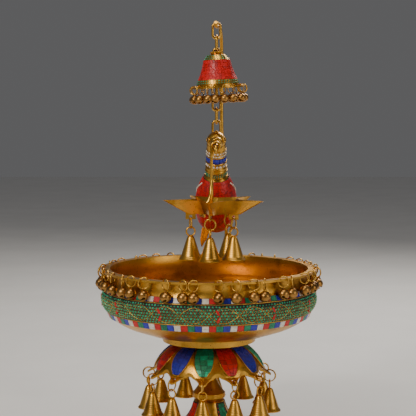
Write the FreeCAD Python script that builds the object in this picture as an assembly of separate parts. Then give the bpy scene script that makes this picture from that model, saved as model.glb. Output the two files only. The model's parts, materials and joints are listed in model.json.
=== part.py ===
import FreeCAD, Part

import math
import os

from FreeCAD import Vector

# A brass standing bowl (urli) on a lotus stand. A chain hangs from an arm behind the bowl
# and carries a bell-shaped canopy, a parrot, and a five-spouted oil lamp hung from the beak.
# Millimetres, +Z up, the front faces -Y. The origin is the middle of the base's underside.

# ---- Driving dimensions ----
RIM = 262.0                 # height of the bowl's lip; heights below are measured from it
LIP_RADIUS = 151.5
RIM_BELLS = 40
RIM_RING_SEAT = (153.0, -4.4)   # centre of each rim ring: radius, height
RIM_RING = (7.2, 0.8)           # centreline radius, wire radius
RIM_BELL_RADIUS = 7.0

PETALS = 12
FRONT_PETAL = 264.0         # direction of the front petal, degrees from +X
PETAL_COLOURS = "GRBGRBGRGBRB"
PETAL_TIP = 88.0
PETAL_VALLEY = 74.5
LOTUS_RING_SEAT = (86.0, -152.6)
LOTUS_RING = (8.2, 0.75)
BELL_RING = (7.55, 0.75)    # wire ring that carries each conical bell of the lamp

TIE_RADIUS = 4.0
TIE_CLEARANCE = 0.3

HANG_X = 10.5               # the chain hangs over this point, in the plane Y = 0
ARM_TURN = 5.2              # the arm's plane is turned this far from the YZ plane
ARM_RADIUS = 2.5
HOOK_SEAT = 336.0           # height of the hook's wire centre

LINK_WIRE = 1.7
LINK_BEND = 5.45            # centreline radius of a link's ends
LINK_SPAN = 21.2            # between the wire centres of a link's two ends
PLAY = 0.3                  # gap between wires that hang on each other
EYE_BEND = 4.4

CANOPY_BELLS = 16
CANOPY_TILT = 3.0
CANOPY_RING_SEAT = (35.5, 249.2)
CANOPY_RING = (5.6, 0.65)
CANOPY_BELL_RADIUS = 5.75

BIRD_CENTRE = Vector(10.0, 20.0, 97.0)
BIRD_LEAN = 24.0
BEAK_HEIGHT = 172.0

LAMP_CENTRE = Vector(8.0, -50.0, 100.0)
SPOUTS = 5
FIRST_SPOUT = -25.5
SPOUT_TIP = 72.0
SPOUT_VALLEY = 31.0
LAMP_DEPTH = 19.0
TAB_RADIUS = 31.0
HUNG_SPOUTS = (0, 1, 3, 4)    # the rear-left tab carries no bell
TAB_SHIFT = -2.5            # the tabs' circle lies this far to one side of the cup
TAB_HOLE = 77.0
INLAY = 1.2                 # thickness of the mosaic beds

ORIGIN = Vector(0, 0, 0)
UP = Vector(0, 0, 1)
SIDE = Vector(1, 0, 0)
BACK = Vector(0, 1, 0)
ARC = "arc"                 # marks the middle point of an arc in an outline


# ---- Shape helpers ----
def polar(radius, angle, height=0.0):
    turn = math.radians(angle)
    return Vector(radius * math.cos(turn), radius * math.sin(turn), height)


def edges_through(points):
    """Edges through 3-D points; a pair (point, ARC) is the middle of an arc."""
    edges = []
    index = 0
    while index < len(points) - 1:
        following = points[index + 1]
        if isinstance(following, tuple):
            edges.append(Part.Arc(points[index], following[0], points[index + 2]).toShape())
            index += 2
        else:
            edges.append(Part.LineSegment(points[index], following).toShape())
            index += 1
    return edges


def flat_face(points):
    return Part.Face(Part.Wire(edges_through(points + [points[0]])))


def profile(outline):
    """The outline's (radius, height) or (radius, height, ARC) points as a face in the XZ plane."""
    points = []
    for entry in outline:
        place = Vector(entry[0], 0, entry[1])
        points.append((place, ARC) if len(entry) == 3 else place)
    return flat_face(points)


def spin(outline, angle=360.0):
    return profile(outline).revolve(ORIGIN, UP, angle)


def moved(shape, offset):
    copy = shape.copy()
    copy.translate(offset)
    return copy


def turned(shape, angle, axis=UP, centre=ORIGIN):
    copy = shape.copy()
    copy.rotate(centre, axis, angle)
    return copy


def raised(shape):
    """From heights measured at the lip to heights above the floor."""
    return moved(shape, Vector(0, 0, RIM))


def ring_of(shape, count, start=0.0):
    return [turned(shape, start + index * 360.0 / count) for index in range(count)]


def bed(path, thickness, angle=360.0):
    """A skin on one line or arc of an outline, listed downwards; it lies on the outer side."""
    first = path[0]
    last = path[-1]
    length = math.hypot(last[0] - first[0], last[1] - first[1])
    normal = ((first[1] - last[1]) / length, (last[0] - first[0]) / length)
    if len(path) == 2:
        outer = [(p[0] + normal[0] * thickness, p[1] + normal[1] * thickness) for p in path]
        return spin([first, last, outer[1], outer[0]], angle)
    spots = [Vector(p[0], 0, p[1]) for p in path]
    centre = Part.Arc(*spots).toShape().Curve.Center
    outwards = Vector(normal[0], 0, normal[1])
    sign = 1 if (spots[1] - centre).dot(outwards) > 0 else -1
    outer = []
    for spot in spots:
        away = (spot - centre).normalize()
        place = spot + away * (thickness * sign)
        outer.append((place.x, place.z))
    middle = (path[1][0], path[1][1], ARC)
    return spin([first, middle, last, outer[2], outer[1] + (ARC,), outer[0]], angle)


def cylinder(base, axis, radius, length):
    return Part.makeCylinder(radius, length, base, axis)


def torus(centre, normal, bend, wire):
    return Part.makeTorus(bend, wire, centre, normal)


def rod(points, radius, bends):
    """A round rod along straight runs, joined by tangent arcs with the given bend radii."""
    edges = []
    start = points[0]
    for index in range(1, len(points) - 1):
        corner = points[index]
        before = (points[index - 1] - corner).normalize()
        after = (points[index + 1] - corner).normalize()
        half = before.getAngle(after) / 2
        reach = bends[index - 1] / math.tan(half)
        bisector = (before + after).normalize()
        centre = corner + bisector * (bends[index - 1] / math.sin(half))
        middle = centre - bisector * bends[index - 1]
        entry = corner + before * reach
        leave = corner + after * reach
        edges.append(Part.LineSegment(start, entry).toShape())
        edges.append(Part.Arc(entry, middle, leave).toShape())
        start = leave
    edges.append(Part.LineSegment(start, points[-1]).toShape())
    section = Part.Wire(Part.makeCircle(radius, points[0], points[1] - points[0]))
    return Part.Wire(edges).makePipeShell([section], True, False)


def link(top, hang):
    """One oval chain link in the XZ plane, its upper wire centre at height top."""
    upper = top - LINK_BEND
    lower = top - LINK_SPAN + LINK_BEND
    parts = []
    for height, sweep in ((upper, -180), (lower, 180)):
        section = Part.makeCircle(LINK_WIRE, Vector(LINK_BEND, 0, height), UP)
        face = Part.Face(Part.Wire(section))
        parts.append(face.revolve(Vector(0, 0, height), BACK, sweep))
    for side in (-LINK_BEND, LINK_BEND):
        parts.append(cylinder(Vector(side, 0, lower), UP, LINK_WIRE, upper - lower))
    whole = parts[0].fuse(parts[1:]).removeSplitter()
    return moved(whole.Solids[0], hang)


def hex_nut(centre, across, height, bore):
    points = [polar(across / math.sqrt(3), 60 * index) + centre for index in range(6)]
    nut = flat_face(points).extrude(Vector(0, 0, height))
    return nut.cut(cylinder(centre, UP, bore, height))


def round_bell(seat, ring, radius):
    """A hollow ball with a small shank loop round the bottom of its ring, at angle 0."""
    low = seat[1] - ring[0]
    loop_bend = 1.2 + ring[1]
    loop_centre = Vector(seat[0], 0, low - loop_bend + ring[1] + 0.8)
    centre = Vector(seat[0], 0, loop_centre.z - loop_bend - radius + 0.5)
    loop = torus(loop_centre, SIDE, loop_bend, 0.5)
    ball = Part.makeSphere(radius, centre).fuse(loop)
    return ball.cut(Part.makeSphere(radius - 0.9, centre)).removeSplitter()


def cone_bell(pivot, direction):
    """A conical bell hung at pivot; it swings about the horizontal line along direction."""
    crown = -9.6
    roof = -12.0
    mouth = -42.0
    body = spin([(0, crown), (2.6, crown), (4.4, -11.2), (5.8, -14.5), (13.2, -37.5),
                 (15.8, -41), (15.8, mouth), (14.5, mouth), (12.0, -38), (4.6, -15), (3.0, roof),
                 (0, roof)])
    loop_bend = 5.9
    loop_wire = 1.1
    top = BELL_RING[1] + loop_wire + PLAY
    loop = torus(Vector(0, 0, top - loop_bend), SIDE, loop_bend, loop_wire)
    shell = body.fuse(loop).removeSplitter().Solids[0]
    ball = Vector(0, 0, -35.5)
    stem = cylinder(ball, UP, 1.0, roof - ball.z)
    clapper = stem.fuse(Part.makeSphere(3.6, ball)).removeSplitter().Solids[0]
    bell = Part.Compound([shell, clapper])
    return moved(turned(bell, direction), pivot)


nodes = {}


def keep(name, shapes):
    solids = []
    for shape in shapes if isinstance(shapes, list) else [shapes]:
        solids.extend(shape.Solids)
    nodes[name] = Part.Compound(solids) if len(solids) > 1 else solids[0]


# ---- Stand: base, neck and lotus ----
TIE_BORE = TIE_RADIUS + TIE_CLEARANCE
BASE_TOP = 73.0
BASE_PANEL = [(21.5, 72.0), (42.0, 37.5, ARC), (86.0, 18.5)]
BASE_RADIUS = 110.0
BASE_FLANGE = [(100, 12), (107, 9, ARC), (BASE_RADIUS, 3), (BASE_RADIUS, 0)]
BASE_INSIDE = [(84.5, 15.5), (40.0, 34.5, ARC), (18.5, 69.0)]
BASE_ROOF = 69.0
STRIPE_WIDTH = 40.0
GREEN_STRIPES = (317.0, 137.0)
RED_STRIPES = (212.0, 32.0)
FLOOR_TO_HUB = RIM - 105.0
HUB_HEIGHT = 10.0


def make_stand():
    dome = spin([(TIE_BORE, BASE_TOP), (20.5, BASE_TOP)] + BASE_PANEL + BASE_FLANGE
                + [(106.5, 0), (106, 2), (103, 6.5, ARC), (98, 9)] + BASE_INSIDE
                + [(TIE_BORE, BASE_ROOF)])
    socket_hole = cylinder(Vector(ARM_FOOT.x, ARM_FOOT.y, 0), UP, SCREW_RADIUS + 0.2, 20)
    keep("base_dome", dome.cut(socket_hole))
    stripe = bed(BASE_PANEL, INLAY, STRIPE_WIDTH)
    keep("base_stripes_green", [turned(stripe, a - STRIPE_WIDTH / 2) for a in GREEN_STRIPES])
    keep("base_stripes_red", [turned(stripe, a - STRIPE_WIDTH / 2) for a in RED_STRIPES])
    neck_top = FLOOR_TO_HUB - 2
    keep("spool_neck", spin([(TIE_BORE, BASE_TOP), (19, BASE_TOP), (23, 78), (23, 84), (21, 86),
                             (14, 96.5, ARC), (8.5, 112), (9.5, 137, ARC), (16, neck_top),
                             (TIE_BORE, neck_top)]))
    hub = cylinder(Vector(0, 0, FLOOR_TO_HUB), UP, 26, HUB_HEIGHT)
    keep("lotus_hub", hub.cut(cylinder(Vector(0, 0, FLOOR_TO_HUB), UP, TIE_BORE, HUB_HEIGHT)))


def skirt_plan():
    """Plan of the lotus: a round tongue at each petal's end and a scallop between each two."""
    tongue = 83.0
    tongue_half = 3.9
    points = []
    for index in range(PETALS):
        middle = FRONT_PETAL + index * 360.0 / PETALS
        points.append(polar(tongue, middle - tongue_half, -200))
        points.append((polar(PETAL_TIP, middle, -200), ARC))
        points.append(polar(tongue, middle + tongue_half, -200))
        points.append((polar(PETAL_VALLEY, middle + 180.0 / PETALS, -200), ARC))
    return flat_face(points).extrude(Vector(0, 0, 200))


def inlay_plan(middle):
    """Plan of one petal's mosaic bed."""
    points = [polar(32, middle - 11.5, -200), (polar(54, middle - 12.7, -200), ARC),
              polar(69, middle - 10.6, -200), (polar(76.6, middle, -200), ARC),
              polar(69, middle + 10.6, -200), (polar(54, middle + 12.7, -200), ARC),
              polar(32, middle + 11.5, -200)]
    return flat_face(points).extrude(Vector(0, 0, 200))


def make_lotus():
    top_arc = [(28, -105), (56.5, -114.5, ARC), (77, -142.5)]
    shell = spin([(TIE_BORE, -105)] + top_arc + [(90, -150.8), (89, -152.6), (75.4, -143.9),
                 (55.3, -116.8, ARC), (28, -107), (TIE_BORE, -107)])
    shell = shell.common(skirt_plan())
    holes = ring_of(cylinder(Vector(80.5, 0, -155), UP, 2.5, 25), PETALS, FRONT_PETAL)
    keep("lotus_shell", raised(shell.cut(holes)))
    skin = bed(top_arc, INLAY)
    colours = {"G": "green", "R": "red", "B": "blue"}
    for letter, colour in colours.items():
        inlays = [raised(skin.common(inlay_plan(FRONT_PETAL + index * 360.0 / PETALS)))
                  for index in range(PETALS) if PETAL_COLOURS[index] == letter]
        keep("petal_inlays_" + colour, inlays)
    radius, height = LOTUS_RING_SEAT
    wire_ring = torus(Vector(radius, 0, height + RIM), BACK, *LOTUS_RING)
    keep("lotus_bell_rings", ring_of(wire_ring, PETALS, FRONT_PETAL))
    for index in range(PETALS):
        direction = FRONT_PETAL + index * 360.0 / PETALS
        pivot = polar(radius, direction, RIM + height - LOTUS_RING[0])
        keep("lotus_bell_%02d" % (index + 1), cone_bell(pivot, direction))


# ---- Bowl ----
def make_bowl():
    belly = [(146, -29), (149.8, -44, ARC), (143.5, -57)]
    upper_seat = [(143, -22), (146, -29)]
    lower_seat = [(143.5, -57), (139.5, -66)]
    outline = [(TIE_BORE, -95), (61, -95), (61, -103), (65.5, -103), (65.5, -94.3), (87, -90.5),
               (116, -80.5), (129.5, -73.5, ARC), (139.5, -66), (143.5, -57), (149.8, -44, ARC),
               (146, -29), (143, -22), (140.6, -12, ARC), (143, -3), (LIP_RADIUS, -3),
               (LIP_RADIUS, 0), (139, 0), (137.9, -12, ARC), (140.3, -22.5), (143.3, -30),
               (146.9, -44, ARC), (141, -55.8), (137.3, -64.3), (128, -71.2, ARC), (115, -77.8),
               (86.5, -87.8), (61, -92), (TIE_BORE, -92)]
    bowl = spin(outline)
    hole = cylinder(Vector(146.6, 0, -4), UP, 1.9, 5)
    keep("bowl", raised(bowl.cut(ring_of(hole, RIM_BELLS, FRONT_PETAL))))
    band = bed(belly, INLAY)
    keep("bowl_mosaic_band", raised(band))
    keep("bowl_tiles_upper", raised(bed(upper_seat, INLAY).cut(band)))
    keep("bowl_tiles_lower", raised(bed(lower_seat, INLAY).cut(band)))
    wire_ring = torus(Vector(RIM_RING_SEAT[0], 0, RIM_RING_SEAT[1]), BACK, *RIM_RING)
    keep("rim_rings", [raised(r) for r in ring_of(wire_ring, RIM_BELLS, FRONT_PETAL)])
    ball = round_bell(RIM_RING_SEAT, RIM_RING, RIM_BELL_RADIUS)
    keep("rim_ghungroos", [raised(b) for b in ring_of(ball, RIM_BELLS, FRONT_PETAL)])


def make_tie():
    bowl_floor = RIM - 92.0
    washer = 1.5
    nut = 6.5
    low = BASE_ROOF - washer - nut - 3
    high = bowl_floor + washer + nut + 2
    keep("tie_rod", cylinder(Vector(0, 0, low), UP, TIE_RADIUS, high - low))
    plates = []
    for height in (bowl_floor, BASE_ROOF - washer):
        plate = cylinder(Vector(0, 0, height), UP, 10, washer)
        plates.append(plate.cut(cylinder(Vector(0, 0, height), UP, TIE_BORE, washer)))
    keep("tie_washers", plates)
    keep("tie_nuts", [hex_nut(Vector(0, 0, bowl_floor + washer), 13, nut, TIE_RADIUS),
                      hex_nut(Vector(0, 0, BASE_ROOF - washer - nut), 13, nut, TIE_RADIUS)])


# ---- Arm behind the bowl ----
ARM_FOOT = Vector(4.5, 97.0, 15.0)
SOCKET_RADIUS = 8.0
SOCKET_TOP = 36.0
SCREW_RADIUS = 2.0
ARM_POST = 178.0            # distance behind the chain of the arm's long upright
ARM_HEAD = 88.0             # the same for its short upright beside the canopy


def behind(distance, height):
    """A point in the arm's plane, this far behind the chain; height is from the lip."""
    turn = math.radians(ARM_TURN)
    return Vector(HANG_X + distance * math.sin(turn), distance * math.cos(turn), height + RIM)


def make_arm():
    top = 339.0
    points = [ARM_FOOT, Vector(ARM_FOOT.x, ARM_FOOT.y, 47), behind(ARM_POST, -125),
              behind(ARM_POST, 95), behind(ARM_HEAD, 185), behind(ARM_HEAD, top),
              behind(17, top), behind(10, HOOK_SEAT), behind(-7, HOOK_SEAT), behind(-12, top + 2)]
    keep("hanger_arm", rod(points, ARM_RADIUS, [26, 90, 70, 60, 42, 6, 6, 4]))
    seat = Vector(ARM_FOOT.x, ARM_FOOT.y, 0)
    boss = cylinder(seat, UP, SOCKET_RADIUS, SOCKET_TOP)
    foot_rim = spin([BASE_PANEL[-1]] + BASE_FLANGE[:-1] + [(BASE_RADIUS, -1), (60, -1),
                    (60, BASE_PANEL[-1][1])])
    boss = boss.cut(foot_rim)
    boss = boss.cut(cylinder(ARM_FOOT, UP, ARM_RADIUS + 0.05, SOCKET_TOP))
    boss = max(boss.Solids, key=lambda solid: solid.Volume)
    across = cylinder(Vector(ARM_FOOT.x, ARM_FOOT.y, 27), BACK, SCREW_RADIUS, 20)
    keep("arm_socket", boss.cut(across))
    screw_start = ARM_FOOT.y + ARM_RADIUS + 0.02
    screw = cylinder(Vector(ARM_FOOT.x, screw_start, 27), BACK, SCREW_RADIUS - 0.02, 9)
    head = cylinder(Vector(ARM_FOOT.x, screw_start + 8, 27), BACK, 3.6, 2.6)
    keep("arm_set_screw", screw.fuse(head).removeSplitter())


# ---- Chain, canopy ----
def along_chain(shape):
    """Turn a part built on the Z axis into the arm's plane and put it under the hook."""
    return moved(turned(shape, -ARM_TURN), Vector(HANG_X, 0, RIM))


def hung_link(top, facing):
    shape = link(top, ORIGIN)
    return along_chain(shape if facing else turned(shape, 90))


def make_chain():
    """Each link's top wire sits one wire and a little play above the wire that it hangs on."""
    step = 2 * LINK_WIRE + PLAY
    top = HOOK_SEAT + ARM_RADIUS + LINK_WIRE + PLAY
    for index in range(2):
        keep("link_upper_%d" % (index + 1), hung_link(top, index % 2 == 0))
        top += step - LINK_SPAN
    keep("canopy_rod", canopy_rod(top))
    top = CANOPY_LOWER_EYE + step
    for index in range(4):
        keep("link_lower_%d" % (index + 1), hung_link(top, index % 2 == 1))
        top += step - LINK_SPAN
    return top


CANOPY_LOWER_EYE = 254.5    # wire centre at the bottom of the canopy's inner eye


def canopy_rod(top):
    upper_eye = torus(Vector(0, 0, top - EYE_BEND), BACK, EYE_BEND, LINK_WIRE)
    lower_eye = torus(Vector(0, 0, CANOPY_LOWER_EYE + EYE_BEND), BACK, EYE_BEND, LINK_WIRE)
    low = CANOPY_LOWER_EYE + 2 * EYE_BEND
    stem = cylinder(Vector(0, 0, low), UP, 1.6, top - 2 * EYE_BEND - low)
    collar = spin([(0, 291), (5.5, 291), (5.5, 293), (0, 293)])
    return along_chain(stem.fuse([upper_eye, lower_eye, collar]).removeSplitter())


def tilted(shape):
    return along_chain(turned(shape, -CANOPY_TILT, BACK, Vector(0, 0, 293)))


def make_canopy():
    side = [(17, 289.3), (20.3, 276, ARC), (26.3, 262.5)]
    crown_seat = [(11.7, 296.2), (17, 289.3)]
    foot_seat = [(26.3, 262.5), (28.6, 256)]
    shell = spin([(2.6, 293.6), (2.6, 295), (5.9, 296.8), (6.5, 300.2), (9.2, 301.2),
                  (7.6, 297.4), (8.6, 296.6)] + crown_seat
                 + side[1:] + [(28.6, 256), (28.9, 252.8), (35, 252.8), (35, 250.8), (27.2, 250.8),
                 (26.9, 255.5), (24.9, 261.6), (18.8, 275.7, ARC), (15.5, 288.4), (11.2, 293.6)])
    hole = cylinder(Vector(30.7, 0, 250), UP, 1.6, 4)
    keep("canopy_shell", tilted(shell.cut(ring_of(hole, CANOPY_BELLS))))
    keep("canopy_red_inlay", tilted(bed(side, 1.0)))
    keep("canopy_green_bands", [tilted(bed(crown_seat, 1.0)), tilted(bed(foot_seat, 1.0))])
    wire_ring = torus(Vector(CANOPY_RING_SEAT[0], 0, CANOPY_RING_SEAT[1]), BACK, *CANOPY_RING)
    keep("canopy_rings", [tilted(r) for r in ring_of(wire_ring, CANOPY_BELLS)])
    ball = round_bell(CANOPY_RING_SEAT, CANOPY_RING, CANOPY_BELL_RADIUS)
    keep("canopy_ghungroos", [tilted(b) for b in ring_of(ball, CANOPY_BELLS)])


# ---- Parrot ----
def on_bird(shape):
    """From the bird's own axis, tail end down, to its leaning place."""
    return moved(turned(shape, BIRD_LEAN, SIDE), BIRD_CENTRE + Vector(0, 0, RIM))


def make_bird(eye_top):
    flank = [(17, 33), (28, -2, ARC), (24.5, -35)]
    head = Vector(0, 0, 88)
    outer = spin([(0, -54), (14, -50, ARC), (24.5, -35), (28, -2, ARC), (17, 33), (12.4, 36),
                  (12.4, 76.2), (12.6, 82), (0, 82)]).fuse(Part.makeSphere(13.3, head))
    inner = spin([(0, -42), (14, -39, ARC), (22.4, -30), (25.4, -2, ARC), (14.4, 31), (10.2, 36),
                  (10.2, 76.2), (10.2, 82), (0, 82)]).fuse(Part.makeSphere(10.8, head))
    beak_base = Vector(10.0, -24.0, BEAK_HEIGHT + 2)
    shank_start = Vector(9.2, -45.0, BEAK_HEIGHT)
    beak = Part.makeCone(7.5, 3.7, (shank_start - beak_base).Length, beak_base,
                         shank_start - beak_base)
    shank = cylinder(shank_start + Vector(0, 2, 0), Vector(0, -1, 0), 3.3, 12)
    tip = Part.makeSphere(3.9, Vector(9.2, -55.2, BEAK_HEIGHT - 0.3))
    eye = torus(Vector(0, 0, eye_top - EYE_BEND), SIDE, EYE_BEND, LINK_WIRE)
    solid = on_bird(outer).fuse([raised(beak), raised(shank), raised(tip), along_chain(eye)])
    keep("bird_body", solid.cut(on_bird(inner)).removeSplitter())
    keep("bird_red_mosaic", on_bird(bed(flank, 1.0)))
    beads = []
    for low, high, radius in ((36.6, 43.8, 15.6), (44.4, 50.0, 15.0), (50.6, 57.4, 14.6),
                              (58.0, 66.6, 14.3), (67.2, 75.6, 14.3)):
        mid = (low + high) / 2
        beads.append(on_bird(spin([(12.4, low), (radius - 1, low), (radius, mid, ARC),
                                   (radius - 1, high), (12.4, high)])))
    keep("bird_neck_beads", beads)
    tail_root = Vector(9.0, 37.0, 66.0)
    tail_tip = Vector(-13.0, 80.0, 18.0)
    run = (tail_tip - tail_root).normalize()
    across = run.cross(UP).normalize()
    upright = across.cross(run)
    wires = []
    for fraction, half_width, half_height in ((0, 10, 3.0), (0.55, 9, 2.6), (1, 2.5, 1.6)):
        middle = tail_root + (tail_tip - tail_root) * fraction
        corners = [middle + across * (half_width * x) + upright * (half_height * y)
                   for x, y in ((-1, -1), (1, -1), (1, 1), (-1, 1))]
        wires.append(Part.makePolygon(corners + [corners[0]]))
    tail = raised(Part.makeLoft(wires, True, True))
    keep("bird_tail", tail.cut(on_bird(outer)).cut(on_bird(bed(flank, 1.0))))


# ---- Oil lamp hung from the beak ----
def star_wire(tip, valley, height):
    """Five spouts with hollow-curved sides and blunt tips."""
    points = []
    for index in range(SPOUTS):
        middle = FIRST_SPOUT + index * 360.0 / SPOUTS
        blunt = math.degrees(2.5 / tip)
        for side in (-1, 1):
            root = polar(valley, middle + side * 180.0 / SPOUTS, height)
            end = polar(tip - 2, middle + side * blunt, height)
            chord = (root + end) * 0.5
            inwards = polar(1, middle) .dot(chord - Vector(0, 0, height))
            centre_line = polar(inwards, middle, height)
            hollow = chord + (centre_line - chord).normalize() * (tip * 0.05)
            stretch = [root, (hollow, ARC), end]
            if side < 0:
                points.extend(stretch)
                points.append((polar(tip, middle, height), ARC))
            else:
                points.extend([stretch[2], stretch[1]])
    return Part.Wire(edges_through(points + [points[0]]))


def make_lamp():
    outer = Part.makeLoft([star_wire(38, 21, -LAMP_DEPTH), star_wire(SPOUT_TIP, SPOUT_VALLEY, 0)],
                          True, True)
    inner = Part.makeLoft([star_wire(35, 18.8, 1.8 - LAMP_DEPTH),
                           star_wire(SPOUT_TIP - 3, SPOUT_VALLEY - 1.6, 0.01)], True, True)
    tabs = []
    rings = []
    hole = TAB_HOLE - LAMP_CENTRE.z
    ring_centre = hole - 2.25 + BELL_RING[1] + 0.2 - BELL_RING[0]
    for index in range(SPOUTS):
        direction = FIRST_SPOUT + index * 360.0 / SPOUTS
        plate = Part.makeBox(14, 2, 14, Vector(TAB_RADIUS - 7, -1, hole - 3.5))
        plate = plate.cut(cylinder(Vector(TAB_RADIUS, -2, hole), BACK, 2.25, 4))
        tabs.append(moved(turned(plate, direction), Vector(TAB_SHIFT, 0, 0)))
        if index in HUNG_SPOUTS:
            wire_ring = torus(Vector(TAB_RADIUS, 0, ring_centre), SIDE, *BELL_RING)
            rings.append(moved(turned(wire_ring, direction), Vector(TAB_SHIFT, 0, 0)))
    star = outer.fuse(tabs).cut(inner).removeSplitter()
    place = LAMP_CENTRE + Vector(0, 0, RIM)
    keep("lamp_dish", moved(star, place))
    keep("lamp_bell_rings", [moved(r, place) for r in rings])
    for number, index in enumerate(HUNG_SPOUTS, 1):
        direction = FIRST_SPOUT + index * 360.0 / SPOUTS
        pivot = polar(TAB_RADIUS, direction, ring_centre - BELL_RING[0])
        pivot = pivot + place + Vector(TAB_SHIFT, 0, 0)
        keep("lamp_bell_%d" % number, cone_bell(pivot, direction + 90))
    ring_seat = Vector(9.0, LAMP_CENTRE.y, BEAK_HEIGHT)
    hook_bend = 5.6
    hook = torus(ring_seat, BACK, hook_bend, 1.7)
    foot = Vector(2.8, LAMP_CENTRE.y, LAMP_CENTRE.z - LAMP_DEPTH + 1.8)
    shoulder = Vector(ring_seat.x - hook_bend, LAMP_CENTRE.y, BEAK_HEIGHT)
    stem = cylinder(foot, shoulder - foot, 2.1, (shoulder - foot).Length)
    flange = cylinder(foot, UP, 5, 2)
    whole = hook.fuse([stem, flange])
    floor = Part.makeBox(20, 20, 10, foot + Vector(-10, -10, -10))
    keep("lamp_hook", raised(whole.cut(floor).removeSplitter()))


def main():
    os.makedirs("parts", exist_ok=True)
    make_stand()
    make_lotus()
    make_bowl()
    make_tie()
    make_arm()
    make_bird(make_chain())
    make_canopy()
    make_lamp()
    for name, shape in nodes.items():
        shape.exportStep("parts/%s.step" % name)
        print("%-22s %2d solids %10.1f mm3 %s" % (name, len(shape.Solids), shape.Volume,
                                                  "" if shape.isValid() else "INVALID"))


main()
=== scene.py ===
import json
import math
import random

import bpy
from mathutils import Matrix, Vector


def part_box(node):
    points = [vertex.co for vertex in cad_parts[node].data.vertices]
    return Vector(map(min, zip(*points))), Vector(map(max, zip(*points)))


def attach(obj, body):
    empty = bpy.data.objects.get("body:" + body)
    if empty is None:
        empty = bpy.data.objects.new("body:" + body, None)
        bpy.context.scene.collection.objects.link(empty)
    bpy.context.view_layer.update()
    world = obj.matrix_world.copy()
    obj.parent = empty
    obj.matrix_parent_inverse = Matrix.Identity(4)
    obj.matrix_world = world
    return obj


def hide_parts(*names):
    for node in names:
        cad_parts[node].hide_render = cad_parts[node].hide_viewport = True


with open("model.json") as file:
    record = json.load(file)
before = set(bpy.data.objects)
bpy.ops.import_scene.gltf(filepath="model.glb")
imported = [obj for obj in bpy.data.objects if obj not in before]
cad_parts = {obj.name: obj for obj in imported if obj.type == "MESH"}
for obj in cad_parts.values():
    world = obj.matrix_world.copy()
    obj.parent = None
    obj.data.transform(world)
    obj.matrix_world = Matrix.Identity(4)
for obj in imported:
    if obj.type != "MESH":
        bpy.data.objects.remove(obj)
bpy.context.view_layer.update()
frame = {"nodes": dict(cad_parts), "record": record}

MM = 0.001
SIDE = Vector((1, 0, 0))
UP = Vector((0, 0, 1))

# ---- Places, in metres, from the frame ----
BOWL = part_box("bowl")
RIM = BOWL[1].z                              # the lip's upper face
JOINTS = {joint["name"]: joint for joint in frame["record"]["behaviour"]["joints"]}


def pivot(name):
    return Vector(JOINTS[name]["pos_m"])


# ---- Mesh building ----
class Builder:
    """Collects vertices and faces, each face with the number of its material."""

    def __init__(self):
        self.verts = []
        self.faces = []
        self.slots = []

    def add(self, verts, faces, slot=0):
        base = len(self.verts)
        self.verts.extend(verts)
        self.faces.extend([tuple(base + index for index in face) for face in faces])
        self.slots.extend([slot] * len(faces))

    def build(self, name, materials, body, slot, replaces=(), smooth=True):
        mesh = bpy.data.meshes.new(name)
        mesh.from_pydata([tuple(v) for v in self.verts], [], self.faces)
        for material in materials:
            mesh.materials.append(material)
        mesh.polygons.foreach_set("material_index", self.slots)
        mesh.polygons.foreach_set("use_smooth", [smooth] * len(self.faces))
        mesh.update()
        piece = bpy.data.objects.new(name, mesh)
        bpy.context.scene.collection.objects.link(piece)
        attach(piece, body)
        if replaces:
            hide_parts(*replaces)
        return piece


def grid_faces(rows, columns, closed):
    """Quads between rows of a grid; closed joins each row's last column to its first."""
    faces = []
    for row in range(rows - 1):
        for column in range(columns if closed else columns - 1):
            after = (column + 1) % columns
            low = row * columns
            high = low + columns
            faces.append((low + column, low + after, high + after, high + column))
    return faces


def tube(path, radii, sides=12, closed=False, flatten=1.0):
    """A round tube along path; flatten below 1 squeezes it along the frame's second direction."""
    verts = []
    count = len(path)
    reference = None
    for index, place in enumerate(path):
        after = path[(index + 1) % count] if closed or index < count - 1 else place
        before = path[index - 1] if closed or index > 0 else place
        tangent = (after - before).normalized()
        if reference is None:
            reference = tangent.orthogonal().normalized()
        first = (reference - tangent * reference.dot(tangent)).normalized()
        second = tangent.cross(first)
        reference = first
        for side in range(sides):
            turn = math.tau * side / sides
            spread = first * math.cos(turn) + second * (math.sin(turn) * flatten)
            verts.append(place + spread * radii[index])
    faces = grid_faces(count, sides, True)
    if closed:
        last = (count - 1) * sides
        for side in range(sides):
            after = (side + 1) % sides
            faces.append((last + side, last + after, after, side))
    else:
        faces.append(tuple(reversed(range(sides))))
        faces.append(tuple(range((count - 1) * sides, count * sides)))
    return verts, faces


def ring(centre, normal, bend, wire, around=28, sides=8):
    first = normal.orthogonal().normalized()
    second = normal.cross(first)
    path = []
    for index in range(around):
        turn = math.tau * index / around
        path.append(centre + (first * math.cos(turn) + second * math.sin(turn)) * bend)
    return tube(path, [wire] * around, sides, closed=True)


def dome(centre, normal, radius, height, sides=8, stretch=None, ratio=1.0):
    """A low rounded stone, set on a surface; stretch is its long direction."""
    first = (stretch or normal.orthogonal()).normalized()
    second = normal.cross(first).normalized()
    verts = []
    for level, shrink in ((-0.3, 1.0), (0.45, 0.93), (0.85, 0.62)):
        for side in range(sides):
            turn = math.tau * side / sides
            flat = first * (math.cos(turn) * ratio) + second * math.sin(turn)
            verts.append(centre + flat * (radius * shrink) + normal * (height * level))
    verts.append(centre + normal * height)
    faces = grid_faces(3, sides, True)
    top = 2 * sides
    for side in range(sides):
        faces.append((top + side, top + (side + 1) % sides, 3 * sides))
    return verts, faces


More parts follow.
